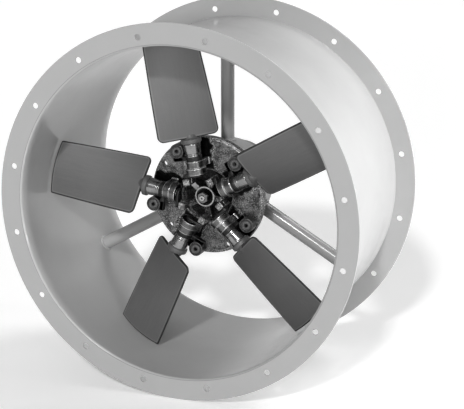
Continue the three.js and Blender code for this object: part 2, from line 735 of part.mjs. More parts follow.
// Collar with a cup on its inner side, towards the crank
function thrustCollarShape() {
  const { radius, cupRadius, cupDepth, sides } = thrustCollar;
  const boreRadius = clearRadius(foot.journalRadius, seatGap, sides);
  return alongZ(turnedRing([
    [cupRadius, thrustInnerEnd],
    [radius, thrustInnerEnd],
    [radius, thrustOuterEnd],
    [boreRadius, thrustOuterEnd],
    [boreRadius, thrustInnerEnd + cupDepth],
    [cupRadius, thrustInnerEnd + cupDepth],
  ], sides));
}

// Crank plate with a big eye on the spigot and a small one that carries the pin
function crankShape() {
  const { offset, bigRadius, smallRadius, thickness, pinRadius, pinLength, sides, arcSteps } = crank;
  const lean = Math.asin((bigRadius - smallRadius) / offset);
  const quarter = Math.PI / 2;
  const plate = new THREE.Shape();
  plate.absarc(0, 0, bigRadius, -quarter - lean, quarter + lean);
  plate.absarc(-offset, 0, smallRadius, quarter + lean, 3 * quarter - lean);
  const extrusion = { depth: thickness, bevelEnabled: false, curveSegments: arcSteps };
  const web = new THREE.ExtrudeGeometry(plate, extrusion).translate(0, 0, spigotStart);
  const pin = barAlongZ(pinRadius, [spigotStart - pinLength, spigotStart + thickness / 2], sides);
  const boreRadius = clearRadius(foot.spigotRadius, seatGap, sides);
  const bore = barAlongZ(boreRadius, past([spigotStart, spigotStart + thickness]), sides);
  return carve([web, pin.translate(-offset, 0, 0)], [bore]);
}

const part = new THREE.Group();
const fan = new THREE.Group();
fan.position.z = flatRadius(casing.flangeRadius, casing.sides);
part.add(fan);

function addCasingAndMotor() {
  add(fan, 'casing', casingShape(), greyPaint);
  strutPlaces.forEach((place, i) => {
    add(sector(fan, strutSpacing * i, strut.planeY), `strut_${place}`, strutShape(), greyPaint);
  });
  add(fan, 'motor_ring', motorRingShape(), greyPaint);
  motorBoltAngles.forEach((angle, i) => {
    add(sector(fan, angle, strut.planeY), `motor_bolt_${i + 1}`, motorBoltShape(), brightSteel);
  });
  add(fan, 'motor_housing', housingShape(), motorPaint);
  add(fan, 'front_end_shield', frontShieldShape(), motorPaint);
  add(fan, 'rear_end_shield', backShieldShape(), motorPaint);
  add(fan, 'stator_core', statorShape(), blackSteel);
  add(fan, 'front_winding', windingShape(coreFrontY, -1), copper);
  add(fan, 'rear_winding', windingShape(coreBackY, 1), copper);
  add(fan, 'front_bearing', bearingShape(frontBearingY), brightSteel);
  add(fan, 'rear_bearing', bearingShape(backBearingY), brightSteel);
  const boxGroup = sector(fan, box.angle);
  add(boxGroup, 'terminal_box', boxShape(), blackPlastic);
  add(boxGroup, 'terminal_box_lid', lidShape(), blackPlastic);
  add(boxGroup, 'cable_gland', glandShape(), blackPlastic);
}

function addImpeller() {
  add(fan, 'motor_shaft', shaftShape(), brightSteel);
  add(fan, 'rotor_core', rotorShape(), blackSteel);
  add(fan, 'shaft_key', keyShape(), brightSteel);
  add(fan, 'hub_disc', hubShape(), roughCast);
  add(fan, 'hub_washer', washerShape(), brightSteel);
  add(fan, 'hub_stud', studShape(), brightSteel);
  add(fan, 'stop_nut', stopNutShape(), blackSteel);
  add(fan, 'pitch_spider', spiderShape(), roughCast);
  bladeAngles.forEach((angle, i) => {
    const unit = sector(fan, angle, bladePlaneY);
    add(unit, `blade_bearing_${i + 1}`, blockShape(), brightSteel);
    add(unit, `blade_${i + 1}`, bladeShape(), darkBlade);
    add(unit, `thrust_collar_${i + 1}`, thrustCollarShape(), brightSteel);
    add(unit, `crank_${i + 1}`, crankShape(), blackSteel);
    add(unit, `counterweight_arm_${i + 1}`, armShape(), blackSteel);
    add(unit, `counterweight_screw_${i + 1}`, armScrewShape(), blackSteel);
  });
}

addCasingAndMotor();
addImpeller();

export default part;
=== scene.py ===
"""Looks of the inline duct fan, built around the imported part.

Every piece is worked out in millimetres in a sector of the fan: z points out from the fan axis, x
clockwise as seen from the front, and y along the axis towards the motor, with zero at mid length.
"""
import math

import bmesh
import bpy
import numpy as np
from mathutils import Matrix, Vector

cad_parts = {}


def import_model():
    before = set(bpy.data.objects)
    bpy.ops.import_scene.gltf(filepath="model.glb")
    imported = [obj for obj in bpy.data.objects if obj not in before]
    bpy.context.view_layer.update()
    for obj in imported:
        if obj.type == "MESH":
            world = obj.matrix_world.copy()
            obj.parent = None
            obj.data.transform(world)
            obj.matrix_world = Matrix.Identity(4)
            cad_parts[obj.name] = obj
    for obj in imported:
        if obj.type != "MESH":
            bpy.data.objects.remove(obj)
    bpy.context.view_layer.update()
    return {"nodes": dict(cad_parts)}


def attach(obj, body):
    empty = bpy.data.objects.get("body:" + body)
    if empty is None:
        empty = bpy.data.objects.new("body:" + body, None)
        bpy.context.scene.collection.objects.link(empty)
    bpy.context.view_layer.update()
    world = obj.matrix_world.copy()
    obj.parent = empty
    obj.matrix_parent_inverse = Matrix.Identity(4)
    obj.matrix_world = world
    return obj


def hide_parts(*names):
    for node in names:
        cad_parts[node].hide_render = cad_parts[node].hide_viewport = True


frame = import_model()

MILLIMETRE = 0.001
AXIS_HEIGHT = 360.565

# Shells: the corner radius of a station without a hexagon, the distance of the extra point beside an
# eased corner, the shares of a short side that a corner and that point may take, and how far a cap's
# ring is drawn in
ROUND = np.inf
SHOULDER = 0.5
CORNER_SHARE, SHOULDER_SHARE = 0.45, 0.48
CAP_INSET = 0.08

# Two points closer than this, in metres, become one
SAME_PLACE = 2e-6

# Casing
SHEET, HALF_LENGTH = 3.0, 184.5
FLANGE_EDGE, BOLT_CIRCLE, BOLT_HOLE = AXIS_HEIGHT, 337.0, 5.75
BEND_CENTRE, BEND_INSIDE = 321.5, 1.0
HOLES, CASING_SIDES = 16, 192

# Struts, motor ring and motor
STRUT_Y, STRUT_RADIUS, STRUT_FOOT, STRUT_WALL = 88.0, 13.45, 88.3, 317.1
RING_INSIDE, RING_OUTSIDE, RING_Y = 83.0, 88.0, (65.0, 111.0)
STRUT_ANGLES = {"top": 0, "right": 120, "left": 240}
MOTOR_BOLT_ANGLES = (60, 180, 300)
HOUSING_Y = (36.3, 149.7)

# Hub and blades: the hub's face is lumpy between the face radii and has a hole HOLE_LEAD degrees after
# each blade. A blade's plate lies PLATE_LEAD in front of its axis, its foot is turned up to MACHINED_OUT
# from the fan axis, and the boss of its counterweight is at BOSS_X and BOSS_Z.
HUB_RADIUS, HUB_Y, WELL_RADIUS, WELL_Y = 116.5, (-18.0, -4.0), 52.0, -10.0
FACE_RADII = (52.6, 115.5)
BLADE_Y, PLATE_LEAD = -49.0, 5.6
BLADE_ANGLES = [-10 + 72 * i for i in range(5)]
HOLE_LEAD = 23
MACHINED_OUT = 110
BOSS_X, BOSS_Z = -34, 97


def sheet(points, around=True):
    """Quads between neighbouring points of a (rows, columns, 3) grid, closed across the columns if around"""
    rows, columns = points.shape[:2]
    row, column = np.meshgrid(np.arange(rows - 1), np.arange(columns - (not around)), indexing="ij")
    here, right = row * columns + column, row * columns + (column + 1) % columns
    quads = np.stack([here, right, right + columns, here + columns], -1).reshape(-1, 4)
    return points.reshape(-1, 3), quads.tolist()


def lofted(rows):
    """A sheet through closed (x, z) outlines, each with its y"""
    return sheet(np.array([np.stack([outline[:, 0], np.full(len(outline), y), outline[:, 1]], -1)
                           for outline, y in rows]))


def capped(shell, count):
    """A shell with a face on its first points and one on its last, count in each"""
    points, faces = shell
    return points, faces + [list(range(count)), list(range(len(points) - count, len(points)))]


def joined(*shells):
    """Several lists of points and faces as one"""
    points, faces, count = [], [], 0
    for shell_points, shell_faces in shells:
        points.append(shell_points)
        faces += [[corner + count for corner in face] for face in shell_faces]
        count += len(shell_points)
    return np.vstack(points), faces


def moved(shell, x=0.0, y=0.0, z=0.0, angle=0.0):
    """A shell moved, and then turned clockwise by the angle a: (x cos a + z sin a, y, z cos a - x sin a)"""
    px, py, pz = (shell[0] + [x, y, z]).T
    cos, sin = math.cos(math.radians(angle)), math.sin(math.radians(angle))
    return np.stack([px * cos + pz * sin, py, pz * cos - px * sin], -1), shell[1]


def radial(shell):
    """A shell about y laid along z: what lay at y lies at z"""
    return shell[0][:, [0, 2, 1]] * [1, -1, 1], shell[1]


def eased(profile, reach, steps=3, closed=False):
    """Each corner b gives way to the curve (1-t)^2 p + 2t(1-t) b + t^2 q, from p on the side before it
    to q on the side after it, both within reach of b, with one more point on each side a shoulder away"""
    profile = np.asarray(profile, float)
    corners = profile if closed else profile[1:-1]
    before = np.roll(profile, 1, 0) if closed else profile[:-2]
    after = np.roll(profile, -1, 0) if closed else profile[2:]
    ends, shoulders = [], []
    for other in (before, after):
        length = np.linalg.norm(other - corners, axis=1, keepdims=True)
        for away, most, places in ((reach, CORNER_SHARE, ends),
                                   (reach + SHOULDER, SHOULDER_SHARE, shoulders)):
            places.append((corners + (other - corners) * np.minimum(away / length, most))[:, None])
    t = np.linspace(0, 1, steps + 1)[None, :, None]
    curve = (1 - t) ** 2 * ends[0] + 2 * t * (1 - t) * corners[:, None] + t ** 2 * ends[1]
    curve = np.concatenate([shoulders[0], curve, shoulders[1]], 1).reshape(-1, profile.shape[1])
    return curve if closed else np.vstack([profile[:1], curve, profile[-1:]])


def full_turn(count):
    """Angles of a full turn in equal steps"""
    return np.arange(count) * 2 * np.pi / count


def turned(profile, sides=72, corners=None):
    """Surface of revolution about y: (r sin a, y, r cos a) for each profile point (r, y) and angle a.
    Where corners gives a hexagon's corner radius c, r is no more than c cos 30 / cos(a mod 60 - 30)."""
    profile = np.asarray(profile, float)
    turn = full_turn(sides)
    radius = np.repeat(profile[:, :1], sides, 1)
    if corners is not None:
        flat = math.cos(math.pi / 6) / np.cos(turn % (math.pi / 3) - math.pi / 6)
        radius = np.minimum(radius, np.asarray(corners, float)[:, None] * flat)
    along = np.repeat(profile[:, 1:2], sides, 1)
    return sheet(np.stack([radius * np.sin(turn), along, radius * np.cos(turn)], -1))


def turned_ring(profile, reach=0.6, sides=72, steps=3):
    """Surface of revolution of a profile that closes on itself, its corners eased"""
    profile = eased(profile, reach, steps, closed=True)
    return turned(np.vstack([profile, profile[:1]]), sides)


def hexagon(stations, sides=48):
    """Turned shape from (radius, y, corner) stations, each round or capped by a hexagon"""
    stations = np.asarray(stations, float)
    return turned(stations[:, :2], sides, stations[:, 2])


def drawn_in(outline, inset):
    """A closed outline moved inwards along the normals between each point's neighbours"""
    ahead = np.roll(outline, -1, 0) - np.roll(outline, 1, 0)
    normal = np.stack([-ahead[:, 1], ahead[:, 0]], -1)
    normal /= np.maximum(np.linalg.norm(normal, axis=1, keepdims=True), 1e-9)
    following = np.roll(outline, -1, 0)
    area = np.sum(outline[:, 0] * following[:, 1] - outline[:, 1] * following[:, 0])
    return outline + normal * inset * np.sign(area)


def ease_rings(low, high, ease, steps=3):
    """Pairs of inset and height along an edge of quarter rounds: ease (1 - sin a), ease (1 - cos a), with
    one more pair on the wall a shoulder away from each"""
    turn = np.linspace(0, math.pi / 2, steps + 1)
    rise, inset = ease * (1 - np.cos(turn)), ease * (1 - np.sin(turn))
    wall = min(ease + SHOULDER, SHOULDER_SHARE * (high - low))
    rows = list(zip(inset, low + rise)) + [(0, low + wall), (0, high - wall)]
    return rows + list(zip(inset[::-1], high - rise[::-1]))


def plate(outline, low, high, ease=0.8):
    """An (x, z) outline carried along y from low to high, with quarter rounds at both ends, and capped by
    a ring drawn a little towards its middle"""
    rows = [(drawn_in(outline, inset), height) for inset, height in ease_rings(low, high, ease)]
    cap = rows[0][0] + (rows[0][0].mean(0) - rows[0][0]) * CAP_INSET
    return capped(lofted([(cap, low)] + rows + [(cap, high)]), len(outline))


def slab(xs, ys, zs, ease=0.8):
    """A block between its limits with every edge eased"""
    outline = [(xs[0], zs[0]), (xs[1], zs[0]), (xs[1], zs[1]), (xs[0], zs[1])]
    return plate(eased(outline, ease, closed=True), *ys, ease)


def arc(radius, start, end, steps, centre=(0.0, 0.0)):
    """Points (x, z) of an arc; angles in degrees, from the x axis towards the z axis"""
    turn = np.radians(np.linspace(start, end, steps))
    return np.stack([centre[0] + radius * np.cos(turn), centre[1] + radius * np.sin(turn)], -1)


def lumps(u, v, size, seed):
    """Smooth noise from -1 to 1: random heights on a square lattice, blended with 3t^2 - 2t^3"""
    count = 97
    heights = np.random.default_rng(seed).uniform(-1, 1, (count, count))
    cell_u, cell_v = np.floor(u / size), np.floor(v / size)
    share_u, share_v = u / size - cell_u, v / size - cell_v
    share_u, share_v = share_u ** 2 * (3 - 2 * share_u), share_v ** 2 * (3 - 2 * share_v)

    def height(du, dv):
        return heights[(cell_u + du).astype(int) % count, (cell_v + dv).astype(int) % count]

    low = height(0, 0) * (1 - share_u) + height(1, 0) * share_u
    high = height(0, 1) * (1 - share_u) + height(1, 1) * share_u
    return low * (1 - share_v) + high * share_v


def in_scene(name, data):
    """A new object of the scene"""
    made = bpy.data.objects.new(name, data)
    bpy.context.scene.collection.objects.link(made)
    return made


def make(name, shell, finish, body, angle=0.0, along=0.0, stands_for=(), sharp=38, marks=None):
    """A mesh object from a shell in sector millimetres, moved along the fan axis and turned about it. Its
    local places are kept as an attribute, for patterns that follow the piece, with any marks, and it rides
    on the body and stands for the CAD nodes."""
    points, faces = shell
    mesh = bpy.data.meshes.new(name)
    places = moved(shell, y=along, angle=angle)[0] + [0, 0, AXIS_HEIGHT]
    mesh.from_pydata(places * MILLIMETRE, [], faces)
    local = mesh.attributes.new("local", "FLOAT_VECTOR", "POINT")
    local.data.foreach_set("vector", np.asarray(points, np.float32).ravel())
    for label, values in (marks or {}).items():
        mesh.attributes.new(label, "FLOAT", "POINT").data.foreach_set("value", values.astype(np.float32))
    work = bmesh.new()
    work.from_mesh(mesh)
    bmesh.ops.remove_doubles(work, verts=work.verts, dist=SAME_PLACE)
    bmesh.ops.recalc_face_normals(work, faces=work.faces)
    work.to_mesh(mesh)
    work.free()
    mesh.shade_smooth()
    mesh.set_sharp_from_angle(angle=math.radians(sharp))
    material, slot = FINISHES[finish]
    mesh.materials.append(material)
    piece = in_scene(name, mesh)
    even = piece.modifiers.new("even normals", "WEIGHTED_NORMAL")
    even.keep_sharp = True
    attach(piece, body)
    if stands_for:
        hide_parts(*stands_for)
    return piece


# Shader nodes

def node(tree, kind, settings=None, **sockets):
    """A node with its settings, each socket linked or set, by its name or as i and its number"""
    made = tree.nodes.new(kind)
    for key, value in (settings or {}).items():
        setattr(made, key, value)
    for key, value in sockets.items():
        numbered = key[0] == "i" and key[1:].isdigit()
        socket = made.inputs[int(key[1:]) if numbered else key.replace("_", " ")]
        if isinstance(value, bpy.types.NodeSocket):
            tree.links.new(value, socket)
        else:
            socket.default_value = value
    return made


def math_node(tree, operation, *values):
    """The first output of a maths node"""
    sockets = {f"i{number}": value for number, value in enumerate(values)}
    return node(tree, "ShaderNodeMath", {"operation": operation}, **sockets).outputs[0]


def times(tree, value, factor):
    """A value multiplied by another"""
    return math_node(tree, "MULTIPLY", value, factor)


def ramp(tree, value, low, high, to_low=0.0, to_high=1.0):
    """A value carried smoothly from one range to another"""
    settings = {"interpolation_type": "SMOOTHSTEP"}
    made = node(tree, "ShaderNodeMapRange", settings, Value=value, From_Min=low, From_Max=high,
                To_Min=to_low, To_Max=to_high)
    return made.outputs["Result"]


def mark(tree, label, output="Fac"):
    """What make() wrote on the mesh under the label"""
    return node(tree, "ShaderNodeAttribute", {"attribute_name": label}).outputs[output]


def clouds(tree, size, detail, roughness=0.5):
    """Noise of the Object coordinates, its size in millimetres"""
    place = node(tree, "ShaderNodeTexCoord").outputs["Object"]
    scale = math_node(tree, "DIVIDE", 1.0 / MILLIMETRE, size)
    made = node(tree, "ShaderNodeTexNoise", Vector=place, Scale=scale, Detail=detail, Roughness=roughness)
    return made.outputs[0]


def new_group(name, inputs, outputs):
    """A shader node group, its float or vector inputs by their defaults, and its float outputs"""
    tree = bpy.data.node_groups.new(name, "ShaderNodeTree")
    for label, default in inputs.items():
        kind = "NodeSocketVector" if isinstance(default, tuple) else "NodeSocketFloat"
        tree.interface.new_socket(label, in_out="INPUT", socket_type=kind).default_value = default
    for label in outputs:
        tree.interface.new_socket(label, in_out="OUTPUT", socket_type="NodeSocketFloat")
    return tree, tree.nodes.new("NodeGroupInput").outputs, tree.nodes.new("NodeGroupOutput").inputs


def mottle_group():
    """Broad and fine cloudiness of a surface in Object coordinates; the fine one is also its relief"""
    tree, given, out = new_group("mottle", {"Size": 30.0, "Fine Size": 2.0}, ["Broad", "Fine"])
    for label, size, detail in (("Broad", "Size", 4.0), ("Fine", "Fine Size", 3.0)):
        tree.links.new(clouds(tree, given[size], detail, 0.6), out[label])
    return tree


def grain_group():
    """Grain drawn out along one local axis: noise of the local place with its axes scaled apart"""
    tree, given, out = new_group("grain", {"Stretch": (1.0, 1.0, 0.05), "Scale": 1.0}, ["Grain", "Scratches"])
    drawn = node(tree, "ShaderNodeVectorMath", {"operation": "MULTIPLY"}, i0=mark(tree, "local", "Vector"),
                 i1=given["Stretch"]).outputs[0]
    grain = node(tree, "ShaderNodeTexNoise", Vector=drawn, Scale=given["Scale"], Detail=5.0, Roughness=0.65)
    fine = times(tree, given["Scale"], 2.7)
    scratch = node(tree, "ShaderNodeTexNoise", Vector=drawn, Scale=fine, Detail=2.0, Roughness=0.5)
    tree.links.new(grain.outputs[0], out["Grain"])
    tree.links.new(ramp(tree, scratch.outputs[0], 0.62, 0.74), out["Scratches"])
    return tree


def edge_group():
    """Masks of worn outer edges, the surface's pointedness broken up by noise, and of hollows, which
    the materials darken as painted shade
    """
    tree, given, out = new_group("edge wear", {"Start": 0.53, "Size": 4.0}, ["Wear", "Hollow Shade"])
    point = node(tree, "ShaderNodeNewGeometry").outputs["Pointiness"]
    uneven = math_node(tree, "SUBTRACT", clouds(tree, given["Size"], 3.0), 0.5)
    broken = math_node(tree, "ADD", point, times(tree, uneven, 0.06))
    end = math_node(tree, "ADD", given["Start"], 0.08)
    tree.links.new(ramp(tree, broken, given["Start"], end), out["Wear"])
    # Concave places, which the materials darken as painted shade
    tree.links.new(ramp(tree, point, 0.49, 0.42), out["Hollow Shade"])
    return tree


# Materials

MOTTLE, GRAIN, EDGES = mottle_group(), grain_group(), edge_group()
FINISHES = {}
NEUTRAL = (1.0, 1.0, 1.0)
BRIGHTEST_METAL = 0.8


def group(tree, which, **sockets):
    """The outputs of a placed node group"""
    return node(tree, "ShaderNodeGroup", {"node_tree": which}, **sockets).outputs


def tint(tree, share, first, second):
    """A colour between two, by a share"""
    made = node(tree, "ShaderNodeMix", {"data_type": "RGBA"}, i0=share, i6=first, i7=second)
    return made.outputs[2]


def grey(level):
    """An opaque neutral colour"""
    return (level, level, level, 1.0)


def layered(tree, level, first, layers, hue=NEUTRAL):
    """A colour between two shares of the level by a mask, covered in turn by (mask, share) layers"""
    def shade(share):
        return tuple(min(level * share * part, BRIGHTEST_METAL) for part in hue) + (1.0,)

    mask, low, high = first
    base = tint(tree, mask, shade(low), shade(high))
    for mask, share in layers:
        base = tint(tree, mask, base, shade(share))
    return base


def finish(name, slot, metallic=0.0):
    """A material with its tree, its Principled shader and the record's slot"""
    material = bpy.data.materials.new(name)
    material.use_nodes = True
    tree = material.node_tree
    shader = tree.nodes["Principled BSDF"]
    shader.inputs["Metallic"].default_value = metallic
    FINISHES[name] = (material, slot)
    return tree, shader


def surface(tree, shader, base, rough, height, depth):
    """Colour, roughness, and relief of the given depth in millimetres from a height between 0 and 1"""
    relief = node(tree, "ShaderNodeBump", Height=height, Distance=depth * MILLIMETRE, Strength=1.0)
    for value, label in ((base, "Base Color"), (rough, "Roughness"), (relief.outputs[0], "Normal")):
        tree.links.new(value, shader.inputs[label])


def painted(name, slot, level, gloss, peel=0.01):
    """Sprayed paint: slight clouds, orange peel, and painted shade in the hollows and where the mesh is
    marked
    """
    tree, shader = finish(name, slot)
    cloud = group(tree, MOTTLE, Size=90.0, Fine_Size=4.0)
    edges = group(tree, EDGES, Start=0.6, Size=3.0)
    base = layered(tree, level, (cloud["Broad"], 0.95, 1.05), [
        (times(tree, edges["Wear"], 0.35), 1.3),
        # Painted shade in the hollows, and painted shade where make() marked the mesh
        (times(tree, edges["Hollow Shade"], 0.25), 0.6),
        (mark(tree, "painted_shade"), 0.1)])
    rough = ramp(tree, cloud["Broad"], 0.3, 0.7, gloss * 0.85, gloss * 1.15)
    surface(tree, shader, base, rough, cloud["Fine"], peel)


def brushed(name, slot, level, gloss, stretch, scale, metallic=1.0, contrast=0.25, worn=0.5, stain=0.5,
            rubbed=2.2, shine=0.5, hue=NEUTRAL):
    """Machined or ground metal: grain along the tool's path, stains, brighter scratches, rubbed edges
    and painted shade in the hollows"""
    tree, shader = finish(name, slot, metallic)
    grain = group(tree, GRAIN, Stretch=stretch, Scale=scale)
    cloud = group(tree, MOTTLE, Size=18.0, Fine_Size=1.2)
    edges = group(tree, EDGES, Start=0.515, Size=2.0)
    base = layered(tree, level, (grain["Grain"], 1 - contrast, 1 + contrast), [
        (ramp(tree, cloud["Broad"], 0.45, 0.75, 0.0, stain), 0.5),
        (times(tree, grain["Scratches"], 0.3), 1.5),
        (times(tree, edges["Wear"], worn), rubbed),
        (mark(tree, "wear"), rubbed),
        # Painted shade in the hollows
        (times(tree, edges["Hollow Shade"], 0.8), 0.1)], hue)
    shader.inputs["Specular IOR Level"].default_value = shine
    rough = ramp(tree, grain["Grain"], 0.2, 0.8, gloss * 0.75, gloss * 1.3)
    surface(tree, shader, base, rough, grain["Grain"], 0.03)


def ground(name, slot, level, gloss):
    """Blade faces ground lengthwise: fine and broad streaks, painted shade towards the root, and along the
    rim a painted dark outline beside a painted highlight line"""
    tree, shader = finish(name, slot, 0.35)
    fine = group(tree, GRAIN, Stretch=(1.0, 1.0, 0.05), Scale=1.1)
    broad = group(tree, GRAIN, Stretch=(1.0, 1.0, 0.06), Scale=0.22)
    cloud = group(tree, MOTTLE, Size=60.0, Fine_Size=1.5)
    streak = math_node(tree, "MULTIPLY_ADD", broad["Grain"], 0.55, times(tree, fine["Grain"], 0.45))
    out = node(tree, "ShaderNodeSeparateXYZ", Vector=mark(tree, "local", "Vector")).outputs["Z"]
    rim = mark(tree, "rim")
    painted_highlight_line = times(tree, ramp(tree, rim, 2.7, 3.3), ramp(tree, rim, 5.4, 4.0))
    base = layered(tree, level, (ramp(tree, streak, 0.36, 0.64), 0.93, 1.07), [
        (times(tree, fine["Scratches"], 0.25), 1.7),
        (ramp(tree, cloud["Broad"], 0.5, 0.8, 0.0, 0.15), 0.6),
        # Painted shade: darker towards the root
        (ramp(tree, out, 240.0, 120.0, 0.0, 0.3), 0.3),
        # Painted highlight line a few millimetres inside the rim
        (times(tree, painted_highlight_line, 0.4), 1.9),
        # Painted dark outline right at the rim
        (ramp(tree, rim, 2.9, 2.0, 0.0, 0.9), 0.1)])
    rough = ramp(tree, streak, 0.3, 0.7, gloss * 0.85, gloss * 1.2)
    surface(tree, shader, base, rough, streak, 0.04)


def cast(name, slot, level, gloss, metallic=0.6):
    """Sand casting: coarse and fine pits, painted shade in the hollows without a pale sheen, bright rubbed
    crests, and by marks on the mesh also smoother pads, rubbed rims and painted shade"""
    tree, shader = finish(name, slot, metallic)
    cloud = group(tree, MOTTLE, Size=14.0, Fine_Size=2.2)
    edges = group(tree, EDGES, Start=0.53, Size=2.5)
    painted_shade, coarse = mark(tree, "painted_shade"), math_node(tree, "MULTIPLY_ADD", mark(tree, "smooth"), -0.65, 1.0)
    light, dark = ramp(tree, cloud["Fine"], 0.52, 0.62), ramp(tree, cloud["Fine"], 0.47, 0.38)
    base = layered(tree, level, (ramp(tree, cloud["Broad"], 0.35, 0.65), 0.35, 1.3), [
        (times(tree, light, coarse), 3.6),
        (times(tree, dark, coarse), 0.06),
        (times(tree, edges["Wear"], 0.8), 5),
        (mark(tree, "wear"), 4),
        # Painted shade where the mesh is marked, then painted shade in the hollows
        (painted_shade, 0.05),
        (times(tree, edges["Hollow Shade"], 0.8), 0.1)])
    # Places of painted shade and the dark pits lose the pale dielectric sheen
    shade_and_pits = math_node(tree, "MAXIMUM", painted_shade, math_node(tree, "MAXIMUM", edges["Hollow Shade"], dark))
    tree.links.new(ramp(tree, shade_and_pits, 0.0, 1.0, metallic, 1.0), shader.inputs["Metallic"])
    rough = ramp(tree, cloud["Fine"], 0.3, 0.7, gloss * 1.2, gloss * 0.7)
    surface(tree, shader, base, rough, cloud["Fine"], 0.5)


painted("casing paint", "grey_paint", 0.4, 0.22)
painted("motor paint", "motor_paint", 0.2, 0.42, peel=0.05)
ground("ground blade", "blade_alloy", 0.14, 0.5)
brushed("turned steel", "bright_steel", 0.3, 0.2, (0.05, 0.05, 1.4), 1.6, contrast=0.6)
brushed("worn steel", "bright_steel", 0.16, 0.28, (0.05, 0.05, 1.2), 1.2, contrast=0.5, stain=0.8, worn=1.0,
        rubbed=5.0)
brushed("turned steel across", "bright_steel", 0.42, 0.24, (0.05, 1.4, 0.05), 1.6, contrast=0.4)
brushed("dark steel", "black_steel", 0.035, 0.4, (0.3, 0.3, 0.3), 1.0, metallic=0.8, contrast=0.5, worn=0.8,
        rubbed=7.0, shine=0.15)
brushed("laminated steel", "black_steel", 0.1, 0.45, (0.02, 2.0, 0.02), 1.0, metallic=0.9)
brushed("wound copper", "copper_winding", 0.45, 0.4, (0.3, 0.3, 0.3), 1.0, hue=(1.0, 0.45, 0.22))
cast("rough casting", "rough_cast", 0.14, 0.48)
cast("rubbed casting", "rough_cast", 0.16, 0.36, metallic=0.8)
painted("moulded plastic", "black_plastic", 0.025, 0.5, peel=0.08)


# Casing

def hole_cell(circle, hole, inner, outer, half, across, tall, shares):
    """Rings from a round hole to the cell of the annulus around it, in (x, z) with the hole on the z axis:
    (1 - v) times the hole's circle plus v times the cell's outline, both counted round alike"""
    turn = np.radians(np.linspace(-half, half, across + 1)[:-1])
    rise = np.linspace(inner, outer, tall + 1)[:-1]
    radius = np.concatenate([np.full(across, inner), rise, np.full(across, outer), outer + inner - rise])
    side = np.full(tall, math.radians(half))
    angle = np.concatenate([turn, side, -turn, -side])
    cell = np.stack([radius * np.sin(angle), radius * np.cos(angle)], -1)
    count = len(cell)
    step = 2 * math.pi / count
    round_about = -math.pi / 2 - across / 2 * step + np.arange(count) * step
    rim = np.stack([hole * np.cos(round_about), circle + hole * np.sin(round_about)], -1)
    v = np.asarray(shares)[:, None, None]
    return (1 - v) * rim + v * cell


def holed_cell(circle, hole, limits, half, across, tall, shares, front, back, ease=0.4):
    """Both faces of a holed cell and the wall of its hole, from the front outline to the back outline"""
    flat = hole_cell(circle, hole + ease, *limits, half, across, tall, shares)
    wall = hole_cell(circle, hole, *limits, half, across, tall, [0.0])[0]
    rows = [(ring, front) for ring in flat[::-1]]
    rows += [(wall, front + ease * np.sign(back - front)), (wall, back - ease * np.sign(back - front))]
    return lofted(rows + [(ring, back) for ring in flat])


def casing():
    """Rolled tube and flanges: turned sheets for the walls, the bends and the rims, and 16 holed cells
    in each flange that meet them point for point. Also a fine line of painted shade along each bend."""
    edge, straight = 0.565, 170
    rim = FLANGE_EDGE - edge
    shares = [0, 0.03, 0.1, 0.3, 0.94, 1]
    shells = []
    for i in range(HOLES):
        for end in (-1, 1):
            cell = holed_cell(BOLT_CIRCLE, BOLT_HOLE, (BEND_CENTRE, rim), 180 / HOLES, 12, 3,
                              shares, end * HALF_LENGTH, end * (HALF_LENGTH - SHEET))
            shells.append(moved(cell, angle=360 / HOLES * (i + 0.5)))
    quarter = np.linspace(0, math.pi / 2, 9)

    def bend(radius):
        """Quarter circle of a bend's inside or outside: (c - r cos t, h + r sin t)"""
        return np.stack([BEND_CENTRE - radius * np.cos(quarter),
                         HALF_LENGTH - SHEET - BEND_INSIDE + radius * np.sin(quarter)], -1)

    for radius in (BEND_INSIDE, BEND_INSIDE + SHEET):
        back = bend(radius)
        middle = [(back[0, 0], y) for y in np.linspace(-straight, straight, 9)]
        shells.append(turned(np.vstack([back[::-1] * [1, -1], middle, back]), CASING_SIDES))
    small = np.linspace(0, math.pi / 2, 4)
    outer = np.stack([rim + edge * np.sin(small), HALF_LENGTH - edge + edge * np.cos(small)], -1)
    inner = np.stack([outer[::-1, 0], 2 * HALF_LENGTH - SHEET - outer[::-1, 1]], -1)
    for end in (-1, 1):
        shells.append(turned(np.vstack([outer, inner]) * [1, end], CASING_SIDES))
    points, faces = joined(*shells)
    # A thin line of painted shade on the bend between the bore and the flange face
    line = bend(BEND_INSIDE + SHEET)[-2]
    off = np.hypot(np.hypot(points[:, 0], points[:, 2]) - line[0], np.abs(points[:, 1]) - line[1])
    return (points, faces), {"painted_shade": 0.6 * (off < 0.1)}


